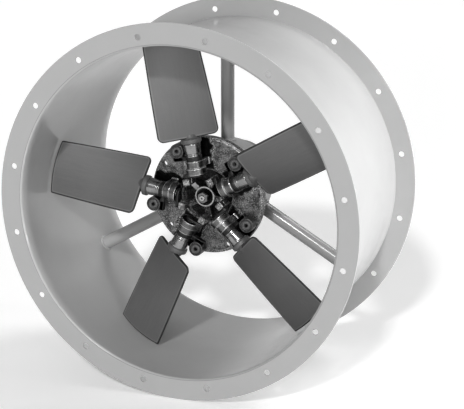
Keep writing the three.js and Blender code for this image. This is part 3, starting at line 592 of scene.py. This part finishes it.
def strut():
    """Round tube along z whose ends follow the wall and the ring, z = sqrt(R^2 - x^2), with a weld bead
    round each end: a small circle carried along the same curve, its radius rippled"""
    sides = 64
    turn = full_turn(sides)
    x, y = STRUT_RADIUS * np.sin(turn), STRUT_RADIUS * np.cos(turn)
    low, high = (np.sqrt(radius ** 2 - x ** 2) for radius in (STRUT_FOOT, STRUT_WALL))
    share = np.linspace(0, 1, 9)[:, None]
    z = low * (1 - share) + high * share
    body = np.stack([np.broadcast_to(x, z.shape), np.broadcast_to(y, z.shape), z], -1)
    ends = [np.broadcast_to([0.0, 0.0, z[i].mean()], (1, sides, 3)) for i in (0, -1)]
    shells = [sheet(np.concatenate([ends[0], body, ends[1]]))]
    path, ring = full_turn(144), full_turn(12)[:, None]
    bead = 2.7 * (1 + 0.1 * np.sin(29 * path) + 0.06 * np.sin(47 * path + 1))
    out = STRUT_RADIUS + 0.6 + bead * np.cos(ring)
    for radius, lift in ((STRUT_FOOT, 1.0), (STRUT_WALL, -1.0)):
        up = np.sqrt(radius ** 2 - (STRUT_RADIUS * np.sin(path)) ** 2) + lift + bead * np.sin(ring)
        rows = np.stack([out * np.sin(path), out * np.cos(path), up], -1)
        shells.append(sheet(np.concatenate([rows, rows[:1]])))
    return joined(*shells)


def motor_bolt():
    """Hexagon bolt along z with a chamfered head, a washer face and a shank"""
    stations = [(0, 93.8, ROUND), (6.0, 93.8, ROUND), (7.5, 93.1, 7.5), (7.5, 89.2, 7.5), (6.6, 88.9, ROUND),
                (6.6, 88.3, ROUND), (4, 88.3, ROUND), (4, 73.4, ROUND), (0, 73.4, ROUND)]
    return radial(hexagon(stations))


casing_shell, casing_marks = casing()
make("fan_casing", casing_shell, "casing paint", "casing", stands_for=["casing"], marks=casing_marks)
for side, angle in STRUT_ANGLES.items():
    make(f"strut_{side}_tube", strut(), "casing paint", "casing", angle, STRUT_Y, [f"strut_{side}"])
band = [(RING_INSIDE, RING_Y[0]), (RING_OUTSIDE, RING_Y[0]),
        (RING_OUTSIDE, RING_Y[1]), (RING_INSIDE, RING_Y[1])]
make("motor_band", turned_ring(band, 0.9, 144), "casing paint", "casing", stands_for=["motor_ring"])
for number, angle in enumerate(MOTOR_BOLT_ANGLES, 1):
    make(f"band_bolt_{number}", motor_bolt(), "turned steel", "casing", angle, STRUT_Y,
         [f"motor_bolt_{number}"])


# Motor

def housing():
    """Finned tube: an outline of 24 tapered fins carried along y and closed to the bore at both ends,
    with three bosses under the ring and a pad under the terminal box"""
    fins, bore, root, tip = 24, 62.3, 68.0, 75.0
    side = np.array([-0.22, -0.14, 0.14, 0.22])
    turn = ((np.arange(fins)[:, None] + side) * 2 * np.pi / fins).ravel()
    radius = np.tile([root, tip, tip, root], fins)
    outline = eased(np.stack([radius * np.sin(turn), radius * np.cos(turn)], -1), 1.6, closed=True)
    bore_ring = outline / np.linalg.norm(outline, axis=1, keepdims=True) * bore
    rings = [(bore_ring, HOUSING_Y[0])]
    rings += [(drawn_in(outline, inset), y) for inset, y in ease_rings(*HOUSING_Y, 0.8)]
    rings += [(bore_ring, HOUSING_Y[1]), (bore_ring, HOUSING_Y[0])]
    boss = slab((-9, 9), (75, 101), (65, 82), 1.5)
    pad = slab((-26, 26), (116, 149.7), (65, 75.6), 1.2)
    return joined(lofted(rings), *[moved(boss, angle=a) for a in MOTOR_BOLT_ANGLES], moved(pad, angle=180))


def front_shield():
    """Flat cover with a boss inside for the bearing and an eased rim"""
    return turned_ring([(10.8, 24), (30, 24), (33, 25.4), (62, 25.4), (65, 24), (72, 24), (72, 36), (30, 36),
                        (30, 42), (23.9, 42), (23.9, 27.7), (10.8, 27.7)], 1.2)


def rear_shield():
    """Dished cover: a raised middle and a raised rim with a shallow step between them"""
    profile = [(0, 158.3), (23.9, 158.3), (23.9, 144), (30, 144), (30, 150), (72, 150), (72, 162), (62, 162),
               (58, 159.4), (34, 159.4), (29, 162), (0, 162)]
    return turned(eased(profile, 1.6), 96)


def cap_screw(radius, height, socket):
    """Round head about y, drilled with a hexagon socket from its outer end at y = 0 down to -height"""
    stations = [(0, -0.6 * height, ROUND), (radius, -0.6 * height, socket), (radius, -0.1, socket),
                (socket * 1.05, 0, ROUND), (radius - 0.6, 0, ROUND), (radius, -0.6, ROUND),
                (radius, -height, ROUND), (0, -height, ROUND)]
    return hexagon(stations)


def box_outline(half, low, high, reach, steps=5):
    """An eased rectangle in (x, y)"""
    return eased([(-half, low), (half, low), (half, high), (-half, high)], reach, steps, closed=True)


def box():
    """Moulded box without a lid: walls drawn as an eased outline, hollow inside"""
    outside, inside = box_outline(34, 113, 153, 4), box_outline(31, 116, 150, 2)
    rings = [(outside * 0.98 + [0, 2.66], 75.9), (outside, 77.2), (outside, 107.9), (inside, 107.9),
             (inside, 78.9)]
    points, faces = capped(lofted(rings), len(outside))
    return points[:, [0, 2, 1]], faces


def lid():
    """Box lid with a rounded edge and a shallow raised field"""
    field = plate(box_outline(30, 117, 149, 3, 3), -111.8, -108.4, 0.9)
    edge = plate(box_outline(34, 113, 153, 4), -110.9, -108.2, 0.9)
    points, faces = joined(field, edge)
    return points[:, [0, 2, 1]] * [1, 1, -1], faces


def gland():
    """Cable gland about y: thread, hexagon with chamfers, ribbed dome and an open mouth"""
    stations = [(4.5, -3, ROUND), (8, -3, ROUND), (8, 0.3, ROUND), (10.6, 0.3, ROUND), (12, 0.9, 12),
                (12, 5.7, 12), (10.6, 6.3, ROUND), (9.5, 6.4, ROUND), (9.5, 11, ROUND), (9.1, 13.4, ROUND),
                (8.2, 15.6, ROUND), (7.2, 17.0, ROUND), (6.0, 17.3, ROUND), (4.5, 16.6, ROUND),
                (4.5, -3, ROUND)]
    points, faces = hexagon(stations, 96)
    turn = np.arctan2(points[:, 0], points[:, 2])
    on_dome = (points[:, 1] > 6.4) & (points[:, 1] < 14)
    ribs, depth = 24, 0.035
    points[:, [0, 2]] *= (1 - depth * on_dome * (np.cos(ribs * turn) > 0))[:, None]
    shell = (points[:, [1, 0, 2]] * [1, -1, 1], faces)
    return moved(shell, 34, 133, 91.9)


make("motor_body", housing(), "motor paint", "casing", stands_for=["motor_housing"])
make("motor_front_cover", front_shield(), "motor paint", "casing", stands_for=["front_end_shield"])
make("motor_rear_cover", rear_shield(), "motor paint", "casing", stands_for=["rear_end_shield"])
cover_screws = [moved(cap_screw(3.4, 3.0, 1.9), z=67, angle=a) for a in (45, 135, 225, 315)]
make("cover_screws", joined(*cover_screws), "turned steel across", "casing", along=163.5)
make("wiring_box", box(), "moulded plastic", "casing", 180, stands_for=["terminal_box"])
make("wiring_box_lid", lid(), "moulded plastic", "casing", 180, stands_for=["terminal_box_lid"])
make("wiring_gland", gland(), "moulded plastic", "casing", 180, stands_for=["cable_gland"])


# Hub

def sector_angle(x, z):
    """Degrees clockwise from the nearest blade axis, from -36 to 36"""
    turn = np.degrees(np.arctan2(x, z)) - BLADE_ANGLES[0]
    return (turn + 36) % 72 - 36


def hub_relief(x, z):
    """Height of the cast face in millimetres, the rubbed rims of its pads, the pads and the painted shade.
    A pad with a wavy outline lies between blades: 1 where the place is clear of the blade bearing by a
    width bent by noise. Fine lumps cover all, and the painted shade lies along the blade bearings."""
    radius, turn = np.hypot(x, z), sector_angle(x, z)
    off_axis = np.abs(radius * np.sin(np.radians(turn)))
    bent = off_axis + 5 * lumps(x, z, 15, 3) + 2.5 * lumps(x, z, 6, 4)
    pad = np.clip((bent - 30) / 3, 0, 1) * np.clip((radius + 3 * lumps(x, z, 11, 5) - 58) / 3, 0, 1)
    pad = pad * np.clip((113 - radius + 1.5 * lumps(x, z, 9, 6)) / 2.5, 0, 1)
    pad = pad ** 2 * (3 - 2 * pad)
    rough = 0.45 * lumps(x, z, 7, 7) + 0.35 * lumps(x, z, 3.2, 8)
    clear = np.clip((off_axis - 18) / 4, 0, 1)
    height = 1.2 * pad + rough * (1 - 0.75 * pad) * (0.25 + 0.75 * clear)
    # Painted shade along the blade bearings
    bearing_shade = np.clip((27 + 5 * lumps(x, z, 9, 11) - off_axis) / 4, 0, 1)
    return height, 1.6 * pad * (1 - pad), pad, bearing_shade


def hub():
    """Cast disc: bands of holed cells and plain grid for both faces, a rim and a sunk middle, all sampled
    on the same 480 directions, with the front face raised by the relief"""
    sides, inner, outer = 480, 94.0, 115.0
    hole_circle, hole, half, across, tall, along = 105, 5.5, 6.0, 16, 16, 81
    shares = np.linspace(0, 1, 9) ** 1.2
    shells = []
    for angle in BLADE_ANGLES:
        cell = holed_cell(hole_circle, hole, (inner, outer), half, across, tall, shares, *HUB_Y, 0.6)
        shells.append(moved(cell, angle=angle + HOLE_LEAD))
        turn = np.radians(np.linspace(half, 72 - half, along) + angle + HOLE_LEAD)
        radius = np.linspace(inner, outer, tall + 1)[:, None]
        for y in HUB_Y:
            grid = np.stack([radius * np.sin(turn), np.full((tall + 1, along), y), radius * np.cos(turn)], -1)
            shells.append(sheet(grid, around=False))
    front, back = HUB_Y
    well = [(9.8, WELL_Y)] + [(r, WELL_Y) for r in range(12, 50, 3)]
    well += [(50, WELL_Y - 0.6), (50.6, WELL_Y - 3)]
    face = [(51.8, front + 1), (FACE_RADII[0], front)] + [(r, front) for r in np.arange(54, inner + 1, 2)]
    rim = [(outer, front), (116, front + 0.4), (HUB_RADIUS, front + 1.5), (HUB_RADIUS, back - 1.5),
           (116, back - 0.4), (outer, back)]
    behind = [(r, back) for r in np.arange(inner, 30, -6)]
    behind += [(29, back), (27, back + 2), (27, 17.2), (26.2, 18), (9.8, 18), (9.8, WELL_Y)]
    for profile in (well + face, rim, behind):
        shells.append(moved(turned(profile, sides), angle=BLADE_ANGLES[0] + HOLE_LEAD + half))
    points, faces = joined(*shells)
    height, rubbed, pad, bearing_shade = hub_relief(points[:, 0], points[:, 2])
    radius = np.hypot(points[:, 0], points[:, 2])
    on_face, on_well, on_back = (np.abs(points[:, 1] - y) < 1e-6 for y in (front, WELL_Y, back))
    on_face &= radius > WELL_RADIUS
    on_well &= (radius > 10) & (radius < 49)
    fade = np.clip(np.minimum(radius - FACE_RADII[0], FACE_RADII[1] - radius) / 2, 0, 1)
    points[:, 1] -= np.where(on_face, height * fade, 0)
    points[:, 1] -= np.where(on_well, 0.3 * lumps(points[:, 0], points[:, 2], 4, 9), 0)
    points[:, 1] += np.where(on_back, 0.25 * lumps(points[:, 0], points[:, 2], 4, 10), 0)
    edge = 0.5 * ((radius > FACE_RADII[1]) & (points[:, 1] < front + 1))
    # Painted shade over the sunk middle and along the blade bearings
    return (points, faces), {"wear": np.where(on_face, rubbed * fade, 0) + edge,
                             "smooth": np.where(on_face, pad, 0),
                             "painted_shade": np.where(on_well, 0.92, 0) + np.where(on_face, bearing_shade * fade, 0)}


def stud():
    """Turned stud: a drilled and chamfered end, a shank, a collar and a tail into the shaft"""
    profile = [(0, -41.7), (2, -41.7), (2, -46.3), (2.4, -46.7), (5, -46.7), (6, -45.7), (6, -17.7),
               (9, -17.7), (9, -13.3), (4, -13.3), (4, 6.7), (0, 6.7)]
    return turned(eased(profile, 0.3), 48)


def stop_nut():
    """Hexagon nut about y with chamfered corners"""
    return hexagon([(6.3, -43.5, ROUND), (9.3, -43.5, ROUND), (11, -42.7, 11), (11, -37.3, 11),
                    (9.3, -36.5, ROUND), (6.3, -36.5, ROUND), (6.3, -43.5, ROUND)], 72)


def spider():
    """Bush with a raised rim, and for each blade an arm and a fork of two jaws that takes the crank pin"""
    bush = [(6.4, -29.1), (17, -29.1), (17, -31.7), (20, -31.7), (20, -23.7), (6.4, -23.7)]
    shells = [turned_ring(bush, 0.7)]
    arm_lead = 37.18
    for angle in BLADE_ANGLES:
        shells.append(moved(slab((-6, 6), (-29.7, -23.7), (12, 42), 1.2), angle=angle - arm_lead))
        for ys, zs in (((-58, -53.4), (29, 42)), ((-44.6, -23.7), (29, 42)), ((-58, -23.7), (29, 32))):
            shells.append(moved(slab((-29, -15), ys, zs, 1.2), angle=angle))
    points, faces = joined(*shells)
    radius, front = np.hypot(points[:, 0], points[:, 2]), points[:, 1]
    rim = (radius > 17.5) & (radius < 21) & (front < -30.5)
    recess = (radius < 17.2) & (front < -23)
    jaws = front < -56.5
    # Painted shade inside the bush's recess
    return (points, faces), {"wear": 0.6 * rim + 0.15 * jaws, "painted_shade": 1.0 * recess}


hub_shell, hub_marks = hub()
make("hub_casting", hub_shell, "rough casting", "impeller", stands_for=["hub_disc"], sharp=50,
     marks=hub_marks)
make("centre_stud", stud(), "turned steel across", "impeller", stands_for=["hub_stud"])
make("centre_nut", stop_nut(), "dark steel", "impeller", stands_for=["stop_nut"])
star_shell, star_marks = spider()
make("pitch_star", star_shell, "rubbed casting", "pitch_slider", stands_for=["pitch_spider"],
     marks=star_marks)


# Blade units

def corner_rise(from_edge, corner):
    """How far a rounded corner draws an edge back: R - sqrt(R^2 - (R - d)^2) within R of the side"""
    inside = np.clip(corner - from_edge, 0, None)
    return corner - np.sqrt(corner ** 2 - inside ** 2)


def blade_plate():
    """Twisted plate on a grid of shares across and along it. Chord, pitch and reach run evenly from root to
    tip, the back and front sheets stand off a cambered middle sheet by a half thickness that closes to
    nothing along the rim as a quarter round. Also the distance of each point from the rim."""
    fine = np.array([0, 0.0015, 0.005, 0.01, 0.016, 0.025, 0.04, 0.06, 0.085, 0.115, 0.15])
    across = np.concatenate([fine, np.linspace(0.18, 0.82, 17), 1 - fine[::-1]])[None, :]
    near = np.array([0, 0.0012, 0.004, 0.008, 0.014, 0.03])
    along = np.concatenate([near, np.linspace(0.06, 0.94, 23), 1 - near[::-1]])[:, None]
    root, tip, root_corner, tip_corner = 121.1, 313.52, 12, 2
    edge_share = np.minimum(across, 1 - across)
    tip_x = (-59.2 + 105.3 * across) * math.cos(math.radians(17))
    tip_out = np.sqrt(tip ** 2 - tip_x ** 2) - corner_rise(edge_share * 105.3, tip_corner)
    root_out = root + corner_rise(edge_share * 120.4, root_corner)
    out = root_out * (1 - along) + tip_out * along
    span = (out - root) / (tip - root)
    behind, ahead = 61.2 - 2.0 * span, 59.2 - 13.1 * span
    chord = -behind * (1 - across) + ahead * across
    pitch = np.radians(34 - 17 * span)
    fullness = 1 - (2 * across - 1) ** 2
    rim = np.minimum(np.minimum(edge_share * (behind + ahead), out - root_out), tip_out - out)
    roundness = np.sqrt(1 - (1 - np.clip(rim / 1.7, 0, 1)) ** 2)
    half = (3.4 + 4.0 * fullness) / 2 * roundness
    sheets = []
    for side in (-1, 1):
        normal = -3 * fullness + side * half
        sheets.append(np.stack([chord * np.cos(pitch) - normal * np.sin(pitch),
                                chord * np.sin(pitch) + normal * np.cos(pitch) - PLATE_LEAD, out], -1))
    return joined(*[sheet(grid, around=False) for grid in sheets]), np.tile(rim.ravel(), 2)


def blade():
    """The plate and its round foot: a cone that fades into the plate, a neck, the machined collar with
    two fine grooves, the journal and the spigot"""
    foot = [(0, 44.2), (5.6, 44.2), (6, 44.6), (6, 49.7), (10, 49.7), (10, 84.6), (14.8, 84.6), (15.2, 85.2),
            (15.35, 87.2), (14.7, 87.5), (14.7, 88.3), (15.4, 88.6), (15.5, 90), (14.9, 90.3), (14.9, 91.1),
            (15.6, 91.4), (17.3, 107), (17.3, 109.3), (16.8, 110), (18.6, 110.6), (19.8, 112), (20, 114),
            (19.9, 119), (18.0, 119.8), (15.6, 122.5), (13.6, 127), (11.2, 133), (8.6, 139), (5.8, 146),
            (2.8, 151), (0, 153)]
    far_from_rim = 20.0
    plate_shell, rim = blade_plate()
    foot_shell = radial(turned(eased(foot, 0.35, 2), 72))
    x, y, out = foot_shell[0].T
    pitch, cone_start, cone_fade, flatness = math.radians(33), 119, 25, 0.35
    flat = np.clip((out - cone_start) / cone_fade, 0, 1) * flatness
    offset = flat * (np.cos(pitch) * (y + PLATE_LEAD) - np.sin(pitch) * x)
    foot_shell = (np.stack([x + offset * np.sin(pitch), y - offset * np.cos(pitch), out], -1), foot_shell[1])
    return joined(plate_shell, foot_shell), np.concatenate([rim, np.full(len(foot_shell[0]), far_from_rim)])


def bearing_block():
    """Round-topped block on a foot, its outline carried along the blade axis"""
    side = [(16.5, -22.5), (17.2, -24.6), (19, -25.7), (19, -30.7)]
    other_side = [(-x, z) for x, z in side[::-1]]
    return radial(plate(np.vstack([arc(16.5, 180, 0, 33), side, other_side]), 62, 76, 1.0))


def thrust_collar():
    """Collar about z with a deep cup towards the crank"""
    profile = [(17.4, 49.7), (20, 49.7), (20, 61.7), (10.3, 61.7), (10.3, 55.7), (17.4, 55.7)]
    return radial(turned_ring(profile, 0.6))


def crank():
    """Flat link with two round ends, and the pin that stands on its small end"""
    big, small, reach = 10, 7, 22
    lean = math.degrees(math.asin((big - small) / reach))
    outline = np.vstack([arc(big, -90 - lean, 90 + lean, 33),
                         arc(small, 90 + lean, 270 - lean, 25, (-reach, 0))])
    pin = radial(turned(eased([(0, 34.4), (3.2, 34.4), (4, 35.2), (4, 46.9), (0, 46.9)], 0.3), 36))
    return joined(radial(plate(outline, 44.4, 49.4, 0.8)), moved(pin, x=-reach))


def weight_arm():
    """Clamp ring on the journal, a flat arm beside it and a round boss with a sunk seat for its screw"""
    clamp = radial(turned_ring([(10.3, 76.3), (16, 76.3), (16, 84.3), (10.3, 84.3)], 0.9))
    reach = slab((-44, -11.5), (0, 12), (76.3, 84.3), 1.2)
    rise = slab((-44, -24), (0, 12), (76.3, 96), 1.2)
    boss = turned_ring([(8.3, -2), (14, -2), (14, 18), (5.3, 18), (5.3, 5.7), (8.3, 5.7)], 0.9)
    return joined(clamp, reach, rise, moved(boss, x=BOSS_X, z=BOSS_Z))


def arm_screw():
    """Socket screw about y in the boss"""
    shell = hexagon([(0, 2.5, ROUND), (8, 2.5, 4), (8, -1.8, 4), (4.3, -2, ROUND), (7.3, -2, ROUND),
                     (8, -1.3, ROUND), (8, 5.4, ROUND), (5, 5.4, ROUND), (5, 18, ROUND), (0, 18, ROUND)])
    return moved(shell, x=BOSS_X, z=BOSS_Z)


def boss_wear(shell):
    """Rubbed rings on the front of a boss and its screw, by the distance from their axis"""
    x, y, z = shell[0].T
    radius = np.hypot(x - BOSS_X, z - BOSS_Z)
    wear = np.zeros(len(radius))
    for inner, outer, amount in ((12.6, 14.2, 0.3), (6.9, 9.4, 0.35)):
        wear += amount * ((radius > inner) & (radius < outer) & (y < -1))
    return {"wear": wear}


def end_wear(shell):
    """Rubbed rims of a collar or block: full wear on the eased edges at both ends of its length"""
    out, width = shell[0][:, 2], 1.05
    return {"wear": 1.0 * (np.minimum(out - out.min(), out.max() - out) < width)}


def turn_foot(piece, angle):
    """Turned steel on a blade's foot, up to MACHINED_OUT from the fan axis"""
    mesh = piece.data
    mesh.materials.append(FINISHES["turned steel"][0])
    centres = np.empty(len(mesh.polygons) * 3)
    mesh.polygons.foreach_get("center", centres)
    x, _, z = (centres.reshape(-1, 3) / MILLIMETRE - [0, 0, AXIS_HEIGHT]).T
    turn = math.radians(angle)
    out = x * math.sin(turn) + z * math.cos(turn)
    mesh.polygons.foreach_set("material_index", (out < MACHINED_OUT).astype(np.int32))


blade_shell, blade_rim = blade()
block, collar, link, arm, screw = bearing_block(), thrust_collar(), crank(), weight_arm(), arm_screw()
for number, angle in enumerate(BLADE_ANGLES, 1):
    unit = f"blade_unit_{number}"
    for name, shell, finish_name, body, cad_name, marks in (
            ("fan_blade", blade_shell, "ground blade", unit, "blade", {"rim": blade_rim}),
            ("bearing_block", block, "worn steel", "impeller", "blade_bearing", end_wear(block)),
            ("cupped_collar", collar, "worn steel", unit, "thrust_collar", end_wear(collar)),
            ("pitch_crank", link, "dark steel", unit, "crank", None),
            ("weight_arm", arm, "dark steel", unit, "counterweight_arm", boss_wear(arm)),
            ("weight_screw", screw, "dark steel", unit, "counterweight_screw", boss_wear(screw))):
        made = make(f"{name}_{number}", shell, finish_name, body, angle, BLADE_Y, [f"{cad_name}_{number}"],
                    marks=marks)
        if name == "fan_blade":
            turn_foot(made, angle)

for finish_name, names in (
        ("laminated steel", ("stator_core", "rotor_core")),
        ("wound copper", ("front_winding", "rear_winding")),
        ("turned steel across", ("front_bearing", "rear_bearing", "motor_shaft", "shaft_key", "hub_washer"))):
    for name in names:
        for slot in frame["nodes"][name].material_slots:
            slot.material = FINISHES[finish_name][0]


# Floor, light and camera

def glow(tree, strength):
    """Light that only the camera, reflections and glass see"""
    path = node(tree, "ShaderNodeLightPath").outputs
    seen = math_node(tree, "ADD", path["Is Camera Ray"], path["Is Glossy Ray"])
    seen = math_node(tree, "MINIMUM", math_node(tree, "ADD", seen, path["Is Transmission Ray"]), 1.0)
    return times(tree, seen, strength)


def floor(strength):
    """Wide square under the fan, its glow of the given strength added to what the lamps give it"""
    half = 40.0
    mesh = bpy.data.meshes.new("floor")
    corners = [(-half, -half, 0), (half, -half, 0), (half, half, 0), (-half, half, 0)]
    mesh.from_pydata(corners, [], [(0, 1, 2, 3)])
    material = bpy.data.materials.new("floor")
    material.use_nodes = True
    tree = material.node_tree
    tree.nodes.clear()
    diffuse = node(tree, "ShaderNodeBsdfDiffuse", Color=grey(0.95))
    light = node(tree, "ShaderNodeEmission", Color=grey(1.0), Strength=glow(tree, strength))
    both = node(tree, "ShaderNodeAddShader", i0=diffuse.outputs[0], i1=light.outputs[0])
    node(tree, "ShaderNodeOutputMaterial", Surface=both.outputs[0])
    mesh.materials.append(material)
    in_scene("floor", mesh)


def aim(piece, place, back):
    """Puts a lamp or the camera at a place in metres, with its back towards the given direction"""
    piece.location = place
    piece.rotation_mode = "QUATERNION"
    piece.rotation_quaternion = (-back).to_track_quat("-Z", "Y")


def lamp(name, towards, strength, angle):
    """A sun that shines from the given direction, as wide as its angle in degrees"""
    data = bpy.data.lights.new(name, "SUN")
    data.energy, data.angle = strength, math.radians(angle)
    towards = Vector(towards)
    aim(in_scene(name, data), Vector((0, 0, AXIS_HEIGHT * MILLIMETRE)) + towards, towards)


def world(ambient, room):
    """White where it is seen, a plainer level where it lights, and in metal a dimmer room in front and
    above: the share of white rises with the direction's y and falls with its z"""
    surroundings = bpy.data.worlds.new("studio")
    bpy.context.scene.world = surroundings
    surroundings.use_nodes = True
    tree = surroundings.node_tree
    background = tree.nodes["Background"]
    background.inputs["Color"].default_value = grey(1.0)
    path = node(tree, "ShaderNodeLightPath").outputs
    direction = node(tree, "ShaderNodeTexCoord").outputs["Generated"]
    parts = node(tree, "ShaderNodeSeparateXYZ", Vector=direction).outputs
    white = times(tree, ramp(tree, parts["Y"], -0.3, 0.3), ramp(tree, parts["Z"], 0.4, 0.05))
    mirrored = math_node(tree, "MULTIPLY_ADD", white, 1.0 - room, room - ambient)
    mirrored = times(tree, mirrored, path["Is Glossy Ray"])
    seen = math_node(tree, "MAXIMUM", path["Is Camera Ray"], path["Is Transmission Ray"])
    seen = times(tree, seen, 1.0 - ambient)
    strength = math_node(tree, "ADD", math_node(tree, "ADD", seen, mirrored), ambient)
    tree.links.new(strength, background.inputs["Strength"])


def camera():
    """Long lens from the right of the front, a little above, aimed beside the fan's middle"""
    azimuth, elevation = math.radians(21.76), math.radians(15.63)
    distance, aside, below = 3083, 41.1, 23.1
    right = Vector((math.cos(azimuth), math.sin(azimuth), 0))
    back = Vector((math.sin(azimuth) * math.cos(elevation), -math.cos(azimuth) * math.cos(elevation),
                   math.sin(elevation)))
    up = back.cross(right)
    target = Vector((0, 0, AXIS_HEIGHT)) + aside * right - below * up
    data = bpy.data.cameras.new("camera")
    data.lens, data.sensor_width, data.clip_end = 122.59, 36.0, 100.0
    made = in_scene("camera", data)
    aim(made, (target + distance * back) * MILLIMETRE, back)
    bpy.context.scene.camera = made


floor(0.2)
world(0.1, 0.2)
for name, towards, strength, angle in (
        ("key", (0.137, -0.81, 0.570), 1.45, 4.5),
        ("front panel", (0.17, -0.97, 0.14), 0.6, 10),
        ("side panel", (0.75, -0.6, 0.15), 0.6, 25),
        ("right panel", (0.998, 0.005, 0.05), 4.2, 6),
        ("back panel", (0.4, 0.5, 0.77), 1.0, 25),
        ("overhead panel", (0.0, 0.05, 1.0), 0.4, 50)):
    lamp(name, towards, strength, angle)
camera()
bpy.context.scene.view_settings.view_transform = "Standard"
